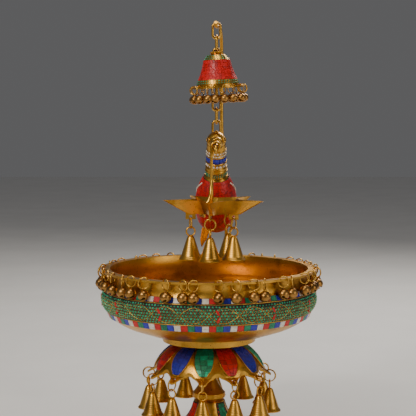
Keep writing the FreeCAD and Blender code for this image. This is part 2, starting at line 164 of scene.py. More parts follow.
def chip(corners, normal, gap, height):
    """A flat stone chip with worn edges, shrunk by gap inside its corner points."""
    centre = sum(corners, Vector()) / len(corners)
    count = len(corners)
    verts = []
    for level, inset in ((-0.4, gap), (0.7, gap), (1.0, gap * 1.9)):
        for corner in corners:
            inward = centre - corner
            shift = min(inset, inward.length * 0.5)
            verts.append(corner + inward.normalized() * shift + normal * (height * level))
    faces = grid_faces(3, count, True)
    faces.append(tuple(range(2 * count, 3 * count)))
    return verts, faces


def cell(row, column):
    """The four corners of a grid's cell, going round it, as (row, column)."""
    return (row, column), (row, column + 1), (row + 1, column + 1), (row + 1, column)


# ---- Surfaces of revolution ----
class Arc:
    """An arc through three (radius, height) points, with a place and a normal at each share."""

    def __init__(self, first, middle, last):
        ax, ay = first
        bx, by = middle
        cx, cy = last
        d = 2 * (ax * (by - cy) + bx * (cy - ay) + cx * (ay - by))
        a, b, c = ax * ax + ay * ay, bx * bx + by * by, cx * cx + cy * cy
        self.x = (a * (by - cy) + b * (cy - ay) + c * (ay - by)) / d
        self.y = (a * (cx - bx) + b * (ax - cx) + c * (bx - ax)) / d
        self.radius = math.hypot(ax - self.x, ay - self.y)
        self.start = math.atan2(ay - self.y, ax - self.x)
        sweep = math.atan2(cy - self.y, cx - self.x) - self.start
        self.sweep = (sweep + math.pi) % math.tau - math.pi
        chord = (cx - ax, cy - ay)
        bulge = (bx - self.x) * -chord[1] + (by - self.y) * chord[0]
        self.sign = 1 if bulge > 0 else -1
        self.length = abs(self.sweep) * self.radius

    def at(self, share):
        turn = self.start + self.sweep * share
        normal = (math.cos(turn) * self.sign, math.sin(turn) * self.sign)
        place = (self.x + self.radius * math.cos(turn), self.y + self.radius * math.sin(turn))
        return place, normal


class Line:
    def __init__(self, first, last):
        self.first = first
        self.last = last
        self.length = math.hypot(last[0] - first[0], last[1] - first[1])
        self.normal = ((first[1] - last[1]) / self.length, (last[0] - first[0]) / self.length)

    def at(self, share):
        place = (self.first[0] + (self.last[0] - self.first[0]) * share,
                 self.first[1] + (self.last[1] - self.first[1]) * share)
        return place, self.normal


def spun(curve, angle, share, lift=0.0):
    """Place and normal, in metres, on a curve spun round Z; the curve is in millimetres."""
    (radius, height), normal = curve.at(share)
    around = Vector((math.cos(angle), math.sin(angle), 0))
    outward = around * normal[0] + UP * normal[1]
    return around * (radius * MM) + UP * (height * MM) + outward * (lift * MM), outward


def raised(place):
    return place + UP * RIM


# ---- Materials ----
def new_material(name):
    material = bpy.data.materials.new(name)
    material.use_nodes = True
    return material, material.node_tree, material.node_tree.nodes["Principled BSDF"]


def node(tree, kind, **values):
    made = tree.nodes.new(kind)
    for key, value in values.items():
        made.inputs[key.replace("_", " ")].default_value = value
    return made


def ramp(tree, source, stops):
    made = tree.nodes.new("ShaderNodeValToRGB")
    elements = made.color_ramp.elements
    while len(elements) < len(stops):
        elements.new(0.5)
    for element, (place, colour) in zip(elements, stops):
        element.position = place
        element.color = (*colour, 1)
    tree.links.new(source, made.inputs["Fac"])
    return made


def coordinates(tree):
    return tree.nodes.new("ShaderNodeTexCoord").outputs["Object"]


def add_bump(tree, shader, layers, distance):
    """Stack bump layers: each is a height output and a strength."""
    below = None
    for height, strength in layers:
        bump = node(tree, "ShaderNodeBump", Strength=strength, Distance=distance)
        tree.links.new(height, bump.inputs["Height"])
        if below:
            tree.links.new(below, bump.inputs["Normal"])
        below = bump.outputs["Normal"]
    tree.links.new(below, shader.inputs["Normal"])


def brass(name, bright, deep, dark, polish, casting=0.25, turned=0.0):
    """Hand-worked brass: tarnish in clouds, polish marks, a slightly uneven cast skin."""
    material, tree, shader = new_material(name)
    where = coordinates(tree)
    clouds = node(tree, "ShaderNodeTexNoise", Scale=38.0, Detail=6.0, Roughness=0.62)
    specks = node(tree, "ShaderNodeTexNoise", Scale=420.0, Detail=4.0, Roughness=0.7)
    dents = node(tree, "ShaderNodeTexNoise", Scale=90.0, Detail=2.0)
    for texture in (clouds, specks, dents):
        tree.links.new(where, texture.inputs["Vector"])
    colour = ramp(tree, clouds.outputs["Fac"], [(0.30, deep), (0.50, bright), (0.72, bright)])
    stain = ramp(tree, specks.outputs["Fac"], [(0.30, (1, 1, 1)), (0.40, (0, 0, 0))])
    mix = tree.nodes.new("ShaderNodeMix")
    mix.data_type = "RGBA"
    tree.links.new(stain.outputs["Color"], mix.inputs["Factor"])
    tree.links.new(colour.outputs["Color"], mix.inputs["A"])
    mix.inputs["B"].default_value = (*dark, 1)
    tree.links.new(mix.outputs["Result"], shader.inputs["Base Color"])
    shader.inputs["Metallic"].default_value = 1.0
    rough = node(tree, "ShaderNodeMapRange", To_Min=polish, To_Max=polish + 0.2)
    tree.links.new(clouds.outputs["Fac"], rough.inputs["Value"])
    tree.links.new(rough.outputs["Result"], shader.inputs["Roughness"])
    layers = [(dents.outputs["Fac"], casting), (specks.outputs["Fac"], casting * 0.35)]
    if turned:
        lines = node(tree, "ShaderNodeTexWave", Scale=turned, Distortion=0.6, Detail=2.0)
        lines.bands_direction = "Z"
        tree.links.new(where, lines.inputs["Vector"])
        layers.append((lines.outputs["Fac"], 0.12))
    add_bump(tree, shader, layers, 0.0006)
    return material


def stone(name, light, deep, veins, gloss=0.38, scale=160.0):
    """A polished chip of coloured stone: cloudy, a few veins, a waxed surface."""
    material, tree, shader = new_material(name)
    where = coordinates(tree)
    clouds = node(tree, "ShaderNodeTexNoise", Scale=scale, Detail=5.0, Distortion=1.2)
    vein = node(tree, "ShaderNodeTexNoise", Scale=scale * 2.2, Detail=6.0, Distortion=2.5)
    for texture in (clouds, vein):
        tree.links.new(where, texture.inputs["Vector"])
    colour = ramp(tree, clouds.outputs["Fac"], [(0.34, deep), (0.62, light)])
    lines = ramp(tree, vein.outputs["Fac"], [(0.485, (0, 0, 0)), (0.5, (1, 1, 1)), (0.515, (0, 0, 0))])
    mix = tree.nodes.new("ShaderNodeMix")
    mix.data_type = "RGBA"
    tree.links.new(lines.outputs["Color"], mix.inputs["Factor"])
    tree.links.new(colour.outputs["Color"], mix.inputs["A"])
    mix.inputs["B"].default_value = (*veins, 1)
    tree.links.new(mix.outputs["Result"], shader.inputs["Base Color"])
    rough = node(tree, "ShaderNodeMapRange", To_Min=gloss, To_Max=gloss + 0.2)
    tree.links.new(clouds.outputs["Fac"], rough.inputs["Value"])
    tree.links.new(rough.outputs["Result"], shader.inputs["Roughness"])
    shader.inputs["Coat Weight"].default_value = 0.12
    shader.inputs["Coat Roughness"].default_value = 0.15
    add_bump(tree, shader, [(vein.outputs["Fac"], 0.12)], 0.0004)
    return material


def grout(name, light, deep):
    """The dark, grainy cement that the stones are set in."""
    material, tree, shader = new_material(name)
    where = coordinates(tree)
    grain = node(tree, "ShaderNodeTexNoise", Scale=900.0, Detail=5.0, Roughness=0.8)
    tree.links.new(where, grain.inputs["Vector"])
    colour = ramp(tree, grain.outputs["Fac"], [(0.35, deep), (0.65, light)])
    tree.links.new(colour.outputs["Color"], shader.inputs["Base Color"])
    shader.inputs["Roughness"].default_value = 0.75
    add_bump(tree, shader, [(grain.outputs["Fac"], 0.5)], 0.0005)
    return material


AGED = brass("aged_brass", (0.68, 0.36, 0.055), (0.36, 0.16, 0.022), (0.08, 0.035, 0.008), 0.22, 0.22, 260.0)
BRIGHT = brass("bright_brass", (0.74, 0.42, 0.075), (0.44, 0.21, 0.032), (0.12, 0.055, 0.012), 0.22, 0.12)
BELL = brass("bell_brass", (0.70, 0.37, 0.060), (0.38, 0.17, 0.026), (0.10, 0.045, 0.010), 0.26, 0.12, 110.0)
BRONZE = brass("dark_bronze", (0.42, 0.21, 0.055), (0.17, 0.075, 0.018), (0.04, 0.018, 0.006), 0.26, 0.12)
WIRE = brass("wire_brass", (0.66, 0.37, 0.07), (0.38, 0.19, 0.03), (0.12, 0.06, 0.015), 0.24, 0.15)
STEEL = brass("plated_steel", (0.50, 0.50, 0.49), (0.30, 0.30, 0.30), (0.08, 0.08, 0.08), 0.30, 0.2)
RED = stone("coral_red", (0.66, 0.004, 0.001), (0.46, 0.002, 0.001), (0.30, 0.002, 0.002))
DARK_RED = stone("deep_red", (0.44, 0.002, 0.001), (0.26, 0.001, 0.001), (0.55, 0.006, 0.003))
BLUE = stone("lapis_blue", (0.014, 0.022, 0.46), (0.006, 0.008, 0.22), (0.05, 0.07, 0.55))
GREEN = stone("malachite_green", (0.002, 0.25, 0.11), (0.001, 0.10, 0.045), (0.01, 0.42, 0.22))
TURQUOISE = stone("emerald_green", (0.004, 0.50, 0.25), (0.002, 0.30, 0.14), (0.02, 0.20, 0.12))
WHITE = stone("shell_white", (0.84, 0.79, 0.68), (0.62, 0.55, 0.43), (0.42, 0.36, 0.27))
GROUT = grout("dark_grout", (0.050, 0.030, 0.016), (0.010, 0.006, 0.004))


# ---- Bowl: belly mosaic, tile rows, rim rings and bells ----
BELLY = Arc((146.9, -29.0), (151.0, -44.0), (144.3, -57.6))
UPPER_ROW = Line((143.9, -21.8), (147.0, -28.6))
LOWER_ROW = Line((144.3, -58.0), (140.6, -66.3))
RIM_BELLS = 40
RIM_BELL_RADIUS = 7.0 * MM
TILES = 96
FRONT_PETAL = math.radians(264)


def make_tile_row(name, node_name, row):
    colours = [RED, GREEN, BLUE, WHITE]
    tiles = Builder()
    for index in range(TILES):
        low = math.tau * index / TILES
        high = math.tau * (index + 1) / TILES
        corners = [raised(spun(row, angle, share, 0.1)[0])
                   for angle, share in ((low, 0), (high, 0), (high, 1), (low, 1))]
        normal = spun(row, (low + high) / 2, 0.5)[1]
        tiles.add(*chip(corners, normal, 0.3 * MM, 0.6 * MM), index % len(colours))
    tiles.build(name, colours, "stand", "mixed_tiles", smooth=False)
    assign(node_name, GROUT)


def assign(node_name, material):
    """Give a CAD node its finished material, by its slots only."""
    for slot in frame["nodes"][node_name].material_slots:
        slot.material = material


def vine_share(angle, waves, shift):
    return 0.5 + 0.34 * math.sin(waves * angle + shift)


def make_belly():
    """A net of fine brass wire with a green dot in each mesh, two wavy wires, pairs of red leaves."""
    waves = 12
    rng = random.Random(7)
    rows, columns = 8, 204
    wires = Builder()
    steps, edge_steps = 360, 180
    for shift in (0, math.pi):
        path = [raised(spun(BELLY, math.tau * i / steps,
                            vine_share(math.tau * i / steps, waves, shift), 0.3)[0])
                for i in range(steps)]
        wires.add(*tube(path, [0.42 * MM] * steps, 6, closed=True))
    for share in (0.02, 0.98):
        path = [raised(spun(BELLY, math.tau * i / edge_steps, share, 0.1)[0]) for i in range(edge_steps)]
        wires.add(*tube(path, [0.75 * MM] * edge_steps, 6, closed=True))
    for slant in (-0.5, 0.5):
        for column in range(columns):
            path = [raised(spun(BELLY, math.tau * (column + slant * row) / columns, row / rows, 0.1)[0])
                    for row in range(rows + 1)]
            wires.add(*tube(path, [0.17 * MM] * len(path), 4))
    wires.build("belly_wires", [WIRE], "stand", "brass")
    dots = Builder()
    for row in range(1, rows):
        for column in range(columns):
            angle = math.tau * (column + 0.5 + 0.5 * (row % 2) + rng.uniform(-0.07, 0.07)) / columns
            place, normal = spun(BELLY, angle, row / rows + rng.uniform(-0.008, 0.008))
            size = rng.uniform(1.3, 1.55) * MM
            slot = 0 if rng.random() < 0.72 else 1
            dots.add(*dome(raised(place), normal, size, 0.8 * MM, 8, ratio=rng.uniform(0.85, 1.15)), slot)
    dots.build("belly_green_dots", [TURQUOISE, GREEN], "stand", "green_mosaic")
    leaves = Builder()
    for index in range(waves):
        middle = FRONT_PETAL + math.tau * (index + 0.35) / waves
        for share, lean in ((0.36, 0.5), (0.66, -0.45)):
            place, normal = spun(BELLY, middle + (share - 0.5) * 0.03, share)
            along = (UP * math.cos(lean) + normal.cross(UP) * math.sin(lean)).normalized()
            across = normal.cross(along)
            outline = []
            for step in range(10):
                turn = math.tau * step / 10
                width = 1.9 * abs(math.sin(turn)) ** 0.8 * (1 if math.sin(turn) > 0 else -1)
                outline.append(raised(place) + (along * (4.3 * math.cos(turn)) + across * width) * MM)
            leaves.add(*chip(outline, normal, 0.1 * MM, 1.1 * MM))
    leaves.build("belly_red_leaves", [RED], "stand", "red_mosaic", smooth=False)
    assign("bowl_mosaic_band", GROUT)


def ghungroo(radius):
    """A round bell about the origin: two pressed halves, a seam, a tapered slit, a shank loop."""
    segments = 24
    rings = 14
    squash = 0.94
    mesh = bpy.data.meshes.new("ball")
    verts = []
    for row in range(rings + 1):
        polar = math.pi * row / rings
        for column in range(segments):
            turn = math.tau * (column + 0.5) / segments - math.pi / 2 + 0.62
            verts.append((radius * math.sin(polar) * math.cos(turn), radius * math.cos(polar),
                          radius * squash * math.sin(polar) * math.sin(turn)))
    faces = []
    for row in range(rings):
        for column in range(segments):
            slit = column == segments - 1 and 1 < row < rings - 2
            hole = column in (segments - 2, 0) and row in (2, 3, rings - 4, rings - 3)
            if slit or hole:
                continue
            after = (column + 1) % segments
            faces.append((row * segments + column, (row + 1) * segments + column,
                          (row + 1) * segments + after, row * segments + after))
    mesh.from_pydata(verts, [], faces)
    made = bpy.data.objects.new("ball", mesh)
    bpy.context.scene.collection.objects.link(made)
    weld = made.modifiers.new("weld", "WELD")
    weld.merge_threshold = radius * 0.01
    shell = made.modifiers.new("shell", "SOLIDIFY")
    shell.thickness = radius * 0.12
    shell.offset = -1
    solid = made.evaluated_get(bpy.context.evaluated_depsgraph_get()).to_mesh()
    shape = Builder()
    shape.add([v.co.copy() for v in solid.vertices], [tuple(p.vertices) for p in solid.polygons])
    bpy.data.objects.remove(made)
    shape.add(*ring(Vector((0, 0, 0)), UP, radius * 0.985, radius * 0.07, 28, 6))
    shape.add(*ring(Vector((0, 0, radius * 1.16)), SIDE, radius * 0.22, radius * 0.075, 14, 6))
    shape.add(*dome(Vector((0, 0, radius * 0.9)), UP, radius * 0.36, radius * 0.16, 10))
    shape.add(*dome(Vector((0, 0, -radius * 0.55)), UP, radius * 0.3, radius * 0.4, 8))
    return shape


def placed(shape, matrix):
    return [matrix @ v for v in shape.verts], shape.faces


def make_rim():
    seat = (153.0, -4.4)
    bend = 7.2
    low = seat[1] - bend
    rng = random.Random(3)
    ball = ghungroo(RIM_BELL_RADIUS)
    rings = Builder()
    balls = Builder()
    for index in range(RIM_BELLS):
        angle = FRONT_PETAL + math.tau * index / RIM_BELLS
        away = Vector((math.cos(angle), math.sin(angle), 0))
        centre = away * (seat[0] * MM) + UP * (RIM + seat[1] * MM)
        across = away.cross(UP)
        hole = centre - away * (5.6 * MM)
        twist = Matrix.Rotation(rng.choice((-1, 1)) * rng.uniform(0.55, 1.35), 3, "Z")
        middle = hole + twist @ (centre - hole)
        rings.add(*ring(middle, twist @ across, bend * MM, 1.0 * MM, 30, 8))
        turn = Matrix.Rotation(angle + rng.uniform(-0.9, 0.9), 4, "Z")
        lean = Matrix.Rotation(rng.uniform(-0.15, 0.15), 4, "X")
        foot = Vector((middle.x, middle.y, RIM + (low - 9.0) * MM)) + away * (0.8 * MM)
        balls.add(*placed(ball, Matrix.Translation(foot) @ lean @ turn))
    rings.build("rim_wire_rings", [WIRE], "stand", "bright_brass", ["rim_rings"])
    balls.build("rim_round_bells", [BRONZE], "stand", "bright_brass", ["rim_ghungroos"])
    assign("bowl", AGED)


# ---- Lotus petals and base stripes ----
PETAL_TOP = Arc((28.5, -103.9), (57.3, -113.6), (78.1, -142.0))
BASE_PANEL = Arc((22.2, 72.6), (42.8, 38.3), (86.3, 19.4))
PETAL_STONES = {"G": (GREEN, TURQUOISE), "R": (RED, DARK_RED), "B": (BLUE, BLUE)}
PETAL_COLOURS = "GRBGRBGRGBRB"


def petal_half_width(radius):
    """Half the width of a petal's inlay, in millimetres, at this distance from the axis."""
    if radius < 62:
        return 5.6 + 7.7 * math.sin((radius - 30) / 32 * 1.2) / math.sin(1.2)
    return 13.3 * math.sqrt(max(0.02, 1 - ((radius - 62) / 15.7) ** 3))


def petal_point(middle, share, across, lift=0.0):
    """A point of a petal's face: share runs outwards, across is in millimetres."""
    angle = middle + across / PETAL_TOP.at(share)[0][0]
    return raised(spun(PETAL_TOP, angle, share, lift)[0])


def make_petals():
    rng = random.Random(11)
    stones = {letter: Builder() for letter in "GRB"}
    edging = Builder()
    shares = (0.09, 0.22, 0.35, 0.48, 0.61, 0.73, 0.83, 0.91, 0.965)
    first, last, rows = shares[0], shares[-1], len(shares) - 1
    for index, letter in enumerate(PETAL_COLOURS):
        middle = FRONT_PETAL + math.tau * index / len(PETAL_COLOURS)
        lattice = []
        for row in range(rows + 1):
            share = shares[row]
            half = max(petal_half_width(PETAL_TOP.at(share)[0][0]), 5.5)
            line = []
            for column in range(4):
                inside_row = 0 < row < rows
                inside_column = 0 < column < 3
                shake = rng.uniform(-1.6, 1.6) if inside_column else 0
                slide = rng.uniform(-0.025, 0.025) if inside_row else 0
                line.append((share + slide, half * (column / 1.5 - 1) + shake * half / 12))
            lattice.append(line)
        for row in range(rows):
            for column in range(3):
                corners = [petal_point(middle, *lattice[r][c]) for r, c in cell(row, column)]
                normal = (corners[1] - corners[0]).cross(corners[3] - corners[0]).normalized()
                if normal.z < 0:
                    normal = -normal
                    corners.reverse()
                slot = 1 if rng.random() < 0.2 else 0
                stones[letter].add(*chip(corners, normal, 0.28 * MM, 0.6 * MM), slot)
        outline = []
        for side in (-1, 1):
            sweep = [step / 26 for step in range(27)]
            for part in sweep if side < 0 else reversed(sweep):
                share = first - 0.02 + (last - first + 0.04) * part
                half = petal_half_width(PETAL_TOP.at(share)[0][0]) + 0.7
                outline.append(petal_point(middle, share, side * half, -0.3))
        edging.add(*tube(outline, [0.75 * MM] * len(outline), 6, closed=True))
    for letter, colour in (("G", "green"), ("R", "red"), ("B", "blue")):
        stones[letter].build("petal_stones_" + colour, list(PETAL_STONES[letter]), "stand",
                             colour + "_mosaic", smooth=False)
        assign("petal_inlays_" + colour, GROUT)
    edging.build("petal_edging", [WIRE], "stand", "brass")
    assign("lotus_shell", AGED)


def make_base():
    rng = random.Random(5)
    width = math.radians(40)
    for colour, stone_pair, dot, turns in (("green", [GREEN, TURQUOISE, RED], 2, (317, 137)),
                                           ("red", [RED, DARK_RED, BLUE], 2, (212, 32))):
        made = Builder()
        for turn in turns:
            start = math.radians(turn) - width / 2
            rows, columns = 13, 4
            for row in range(rows):
                for column in range(columns):
                    quad = []
                    for r, c in cell(row, column):
                        noise = random.Random(97 * r + 13 * c + turn)
                        slide = noise.uniform(-0.018, 0.018) if 0 < r < rows else 0
                        skew = noise.uniform(-0.05, 0.05) if 0 < c < columns else 0
                        share = 0.02 + 0.96 * r / rows + slide
                        angle = start + width * (0.17 + 0.66 * (c / columns + skew))
                        quad.append(spun(BASE_PANEL, angle, share)[0])
                    normal = spun(BASE_PANEL, start + width / 2, (row + 0.5) / rows)[1]
                    made.add(*chip(list(reversed(quad)), normal, 0.28 * MM, 0.55 * MM),
                             1 if rng.random() < 0.25 else 0)
            for row in range(17):
                for side in (0.085, 0.915):
                    share = 0.03 + 0.94 * row / 16
                    place, normal = spun(BASE_PANEL, start + width * side, share)
                    size = (0.9 + 0.9 * share) * MM
                    made.add(*dome(place, normal, size, 0.6 * MM, 8), dot)
        made.build("base_stones_" + colour, stone_pair, "stand", colour + "_mosaic", smooth=False)
        assign("base_stripes_" + colour, GROUT)
    assign("base_dome", AGED)


# ---- Canopy ----
ARM_TURN = math.radians(5.2)
CANOPY_BELLS = 16
CANOPY_BELL_RADIUS = 5.75 * MM
HANG = pivot("canopy_swing")


def canopy_matrix():
    """From the canopy's own upright axis, heights from the lip, to its tilted place."""
    crown = Vector((0, 0, 293.0 * MM))
    tilt = (Matrix.Translation(crown) @ Matrix.Rotation(math.radians(-3), 4, "Y")
            @ Matrix.Translation(-crown))
    turn = Matrix.Rotation(-ARM_TURN, 4, "Z")
    return Matrix.Translation(Vector((HANG.x, HANG.y, RIM))) @ turn @ tilt


def make_canopy():
    rng = random.Random(19)
    matrix = canopy_matrix()
    turn_only = matrix.to_3x3()
    side = Arc((18.0, 289.7), (21.3, 276.2), (27.2, 262.2))
    chips = Builder()
    rows, columns = 6, 34
    for row in range(rows):
        for column in range(columns):
            quad = []
            for r, c in cell(row, column):
                noise = random.Random(31 * r + 7 * (c % columns))
                slide = noise.uniform(-0.045, 0.045) if 0 < r < rows else 0
                angle = math.tau * (c + 0.5 * (r % 2) + noise.uniform(-0.22, 0.22)) / columns
                quad.append(matrix @ spun(side, angle, r / rows + slide, 0.3)[0])
            middle = math.tau * (column + 0.5 + 0.25) / columns
            normal = turn_only @ spun(side, middle, (row + 0.5) / rows)[1]
            chips.add(*chip(quad, normal, 0.17 * MM, 0.45 * MM), 1 if rng.random() < 0.22 else 0)
    chips.build("canopy_red_stones", [RED, DARK_RED], "canopy", "red_mosaic", smooth=False)
    assign("canopy_red_inlay", GROUT)
    dots = Builder()
    for band, rows in ((Line((12.5, 296.9), (17.8, 290.0)), 3), (Line((27.3, 262.4), (29.6, 256.3)), 2)):
        for row in range(rows):
            share = (row + 0.5) / rows
            count = int(math.tau * band.at(share)[0][0] / 3.9)
            for index in range(count):
                angle = math.tau * (index + 0.5 * (row % 2)) / count
                place, normal = spun(band, angle, share)
                size = rng.uniform(0.85, 1.05) * MM
                dots.add(*dome(matrix @ place, turn_only @ normal, size, 0.5 * MM, 7),
                         0 if rng.random() < 0.75 else 1)
    dots.build("canopy_green_dots", [GREEN, TURQUOISE], "canopy", "green_mosaic")
    assign("canopy_green_bands", AGED)
    rings = Builder()
    balls = Builder()
    ball = ghungroo(CANOPY_BELL_RADIUS)
    for index in range(CANOPY_BELLS):
        angle = math.tau * index / CANOPY_BELLS
        away = Vector((math.cos(angle), math.sin(angle), 0))
        centre = away * (35.5 * MM) + UP * (249.2 * MM)
        hole = centre - away * (4.6 * MM)
        twist = Matrix.Rotation(rng.choice((-1, 1)) * rng.uniform(0.2, 1.0), 3, "Z")
        middle = hole + twist @ (centre - hole)
        verts, faces = ring(middle, twist @ away.cross(UP), 5.6 * MM, 0.65 * MM, 26, 7)
        rings.add([matrix @ v for v in verts], faces)
        foot = Vector((middle.x, middle.y, 236.0 * MM))
        spin = Matrix.Rotation(angle + rng.uniform(-0.9, 0.9), 4, "Z")
        balls.add(*placed(ball, matrix @ Matrix.Translation(foot) @ spin))
    rings.build("canopy_wire_rings", [WIRE], "canopy", "bright_brass", ["canopy_rings"])
    balls.build("canopy_round_bells", [BRONZE], "canopy", "bright_brass", ["canopy_ghungroos"])
    assign("canopy_shell", AGED)
    assign("canopy_rod", WIRE)


# ---- Parrot ----
BIRD_PLACE = (Matrix.Translation(Vector((0.010, 0.020, RIM + 0.097)))
              @ Matrix.Rotation(math.radians(24), 4, "X"))
BIRD_TURN = BIRD_PLACE.to_3x3()
FLANK = Arc((17.9, 33.2), (29.0, -2.0), (25.4, -35.6))
UNDERSIDE = Arc((25.35, -35.8), (18.8, -45.0), (2.0, -53.5))
FRONT = -math.pi / 2
BEAK = pivot("lamp_swing")


def on_bird(place):
    return BIRD_PLACE @ place


def make_bird_shell():
    shell = Builder()
    profile = [(0.4, -52.4), (5.0, -51.8), (10.0, -49.9), (14.5, -47.0), (19.0, -42.2), (21.8, -38.6)]
    for step in range(15):
        (radius, height), _ = FLANK.at(1 - step / 14)
        profile.append((radius - 1.0, height))
    profile += [(15.4, 35.4), (14.4, 36.6), (14.4, 44.2), (15.2, 45.2), (15.0, 46.4), (14.0, 47.2),
                (15.0, 48.2), (15.0, 49.6), (13.6, 50.6), (13.4, 57.4), (14.2, 57.8), (14.2, 58.6),
                (13.2, 59.0), (13.2, 66.4), (14.2, 67.0), (13.3, 67.8), (13.2, 76.0), (13.3, 80.0),
                (13.2, 85.0)]
    sides = 56
    verts = []
    for radius, height in profile:
        for side in range(sides):
            turn = math.tau * side / sides
            verts.append(on_bird(Vector((radius * math.cos(turn), radius * math.sin(turn), height)) * MM))
    shell.add(verts, grid_faces(len(profile), sides, True) + [tuple(reversed(range(sides)))])
    head = on_bird(Vector((0, 0, 88 * MM)))
    path = []
    sizes = []
    for step in range(13):
        turn = math.pi * (step + 0.15) / 12.3
        path.append(head + Vector((0, math.cos(turn) * 13.6, 0.6 * math.sin(turn))) * MM)
        sizes.append(13.3 * math.sin(turn) ** 0.86 * MM)
    shell.add(*tube(path, sizes, 32))
    crest = [head + Vector((0, -5 + 3.2 * i, 11.6 + 2.2 * math.sin(i * 0.62) - 0.42 * i)) * MM
             for i in range(6)]
    shell.add(*tube(crest, [s * MM for s in (2.0, 2.6, 2.6, 2.2, 1.6, 0.6)], 12))
    eye = pivot("bird_swing") + Vector((0, 0, -1.0)) * MM
    across = Vector((math.cos(ARM_TURN), -math.sin(ARM_TURN), 0))
    shell.add(*ring(eye, across, 3.9 * MM, 1.3 * MM, 28, 10))
    shell.build("bird_cast_body", [AGED], "bird", "brass", ["bird_body"])
    make_beak(head)


def eye_socket(head, side):
    """The middle of one eye's socket, and the way it faces."""
    socket = head + Vector((side * 10.9, -6.6, 2.6)) * MM
    return socket, (socket - head).normalized()


def make_beak(head):
    beak = Builder()
    start = head + Vector((0, -9.0, -1.5)) * MM
    upper = [start, head + Vector((-0.2, -15, -1.0)) * MM, BEAK + Vector((0.4, 16, 2.6)) * MM,
             BEAK + Vector((0.3, 9, 2.0)) * MM, BEAK + Vector((0, 3.4, 0.6)) * MM, BEAK + Vector((0, 0, 0)),
             BEAK + Vector((0, -2.6, -1.2)) * MM, BEAK + Vector((0, -5.0, -3.6)) * MM,
             BEAK + Vector((0, -6.6, -7.0)) * MM, BEAK + Vector((0, -6.9, -10.4)) * MM]
    sizes = [9.6, 8.2, 6.6, 5.0, 3.7, 3.2, 3.4, 3.2, 2.2, 0.5]
    smooth_path, smooth_sizes = [], []
    for index in range(len(upper) - 1):
        for part in range(4):
            share = part / 4
            smooth_path.append(upper[index].lerp(upper[index + 1], share))
            smooth_sizes.append((sizes[index] * (1 - share) + sizes[index + 1] * share) * MM)
    smooth_path.append(upper[-1])
    smooth_sizes.append(sizes[-1] * MM)
    beak.add(*tube(smooth_path, smooth_sizes, 20))
    lower = [start + Vector((0, -2, -5)) * MM, head + Vector((0, -17, -6.6)) * MM,
             head + Vector((0, -22, -7.4)) * MM, head + Vector((0, -26, -6.6)) * MM]
    beak.add(*tube(lower, [s * MM for s in (5.0, 4.2, 3.0, 0.8)], 14))
    for side in (-1, 1):
        socket, outward = eye_socket(head, side)
        beak.add(*ring(socket + outward * (0.6 * MM), outward, 3.1 * MM, 0.7 * MM, 24, 8))
        nostril = head + Vector((side * 4.4, -16.5, 3.6)) * MM
        facing = Vector((side * 0.8, -0.3, 0.5)).normalized()
        beak.add(*dome(nostril, facing, 0.9 * MM, 0.5 * MM, 10))
    beak.build("bird_beak", [BRIGHT], "bird", "brass")
    eyes = Builder()
    for side in (-1, 1):
        socket, outward = eye_socket(head, side)
        eyes.add(*dome(socket, outward, 2.6 * MM, 1.3 * MM, 16), 0)
        eyes.add(*dome(socket + outward * (1.1 * MM), outward, 1.1 * MM, 0.7 * MM, 12), 1)
    mouth = Vector((0.4, -0.97, -0.22)).normalized()
    eyes.add(*dome(head + Vector((3.4, -12.6, -4.6)) * MM, mouth, 5.4 * MM, 1.4 * MM, 20, UP, 1.15), 1)
    eyes.build("bird_eyes_and_mouth", [BRONZE, GROUT], "bird", "brass")


def make_bird_stones():
    rng = random.Random(23)
    stones = Builder()
    for curve, rows, columns in ((FLANK, 15, 34), (UNDERSIDE, 6, 22)):
        for row in range(rows):
            for column in range(columns):
                middle = math.tau * (column + 0.5 + 0.25) / columns
                quad = []
                for r, c in cell(row, column):
                    noise = random.Random(41 * r + 5 * (c % columns))
                    slide = noise.uniform(-0.02, 0.02) if 0 < r < rows else 0
                    angle = math.tau * (c + 0.5 * (r % 2) + noise.uniform(-0.2, 0.2)) / columns
                    quad.append(on_bird(spun(curve, angle, r / rows + slide, 0.1)[0]))
                normal = BIRD_TURN @ spun(curve, middle, (row + 0.5) / rows)[1]
                stones.add(*chip(quad, normal, 0.2 * MM, 0.35 * MM), 1 if rng.random() < 0.2 else 0)
    stones.build("bird_red_stones", [RED, DARK_RED], "bird", "red_mosaic", smooth=False)
    assign("bird_red_mosaic", GROUT)


